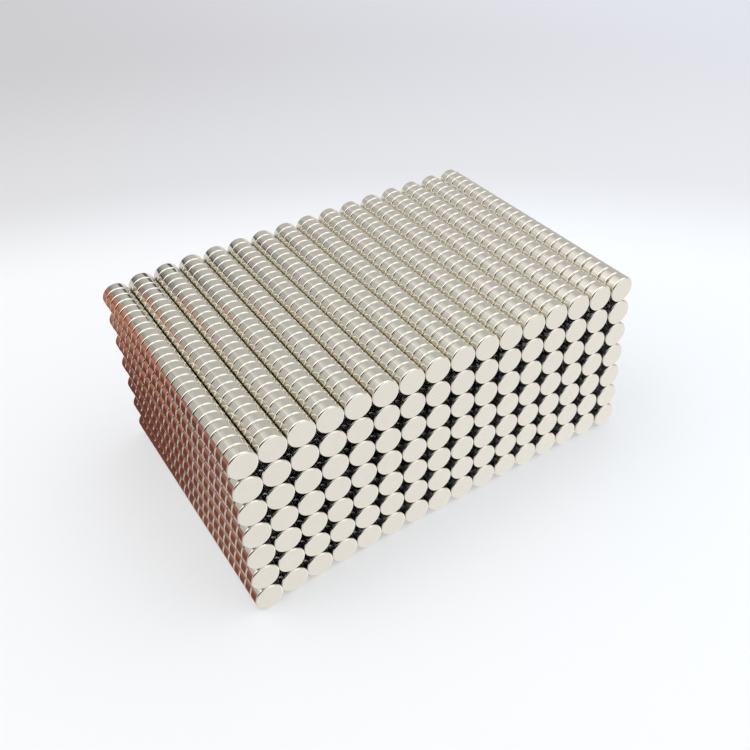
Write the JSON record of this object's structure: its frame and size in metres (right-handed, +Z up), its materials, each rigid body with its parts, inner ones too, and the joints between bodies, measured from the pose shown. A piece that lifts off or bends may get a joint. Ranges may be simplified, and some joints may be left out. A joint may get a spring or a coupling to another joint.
{
  "type": "block of stacked disc magnets",
  "caption": "Rectangular block of small nickel-plated disc magnets, held end to end as straight rods that lie side by side in square-packed rows.",
  "frame": {"origin": "middle of the block's underside, on the surface that the bottom row of rods lies on", "axes": "+X across the rods, +Y along the rods from the front pole face to the back one, +Z up through the rows"},
  "size_m": [0.1122, 0.0772, 0.0491],
  "materials": {
    "nickel": "bright nickel plating, slightly warm, with fine scuffs"
  },
  "bodies": {
    "root": {"row_1_rods_1_2": "nickel", "row_1_rods_3_4": "nickel", "row_1_rods_5_6": "nickel", "row_1_rods_7_8": "nickel", "row_1_rods_9_10": "nickel", "row_1_rods_11_12": "nickel", "row_1_rods_13_14": "nickel", "row_1_rods_15_16": "nickel", "row_2_rods_1_2": "nickel", "row_2_rods_3_4": "nickel", "row_2_rods_5_6": "nickel", "row_2_rods_7_8": "nickel", "row_2_rods_9_10": "nickel", "row_2_rods_11_12": "nickel", "row_2_rods_13_14": "nickel", "row_2_rods_15_16": "nickel", "row_3_rods_1_2": "nickel", "row_3_rods_3_4": "nickel", "row_3_rods_5_6": "nickel", "row_3_rods_7_8": "nickel", "row_3_rods_9_10": "nickel", "row_3_rods_11_12": "nickel", "row_3_rods_13_14": "nickel", "row_3_rods_15_16": "nickel", "row_4_rods_1_2": "nickel", "row_4_rods_3_4": "nickel", "row_4_rods_5_6": "nickel", "row_4_rods_7_8": "nickel", "row_4_rods_9_10": "nickel", "row_4_rods_11_12": "nickel", "row_4_rods_13_14": "nickel", "row_4_rods_15_16": "nickel", "row_5_rods_1_2": "nickel", "row_5_rods_3_4": "nickel", "row_5_rods_5_6": "nickel", "row_5_rods_7_8": "nickel", "row_5_rods_9_10": "nickel", "row_5_rods_11_12": "nickel", "row_5_rods_13_14": "nickel", "row_5_rods_15_16": "nickel", "row_6_rods_1_2": "nickel", "row_6_rods_3_4": "nickel", "row_6_rods_5_6": "nickel", "row_6_rods_7_8": "nickel", "row_6_rods_9_10": "nickel", "row_6_rods_11_12": "nickel", "row_6_rods_13_14": "nickel", "row_6_rods_15_16": "nickel", "row_7_rods_1_2": "nickel", "row_7_rods_3_4": "nickel", "row_7_rods_5_6": "nickel", "row_7_rods_7_8": "nickel", "row_7_rods_9_10": "nickel", "row_7_rods_11_12": "nickel", "row_7_rods_13_14": "nickel", "row_7_rods_15_16": "nickel"}
  },
  "joints": []
}
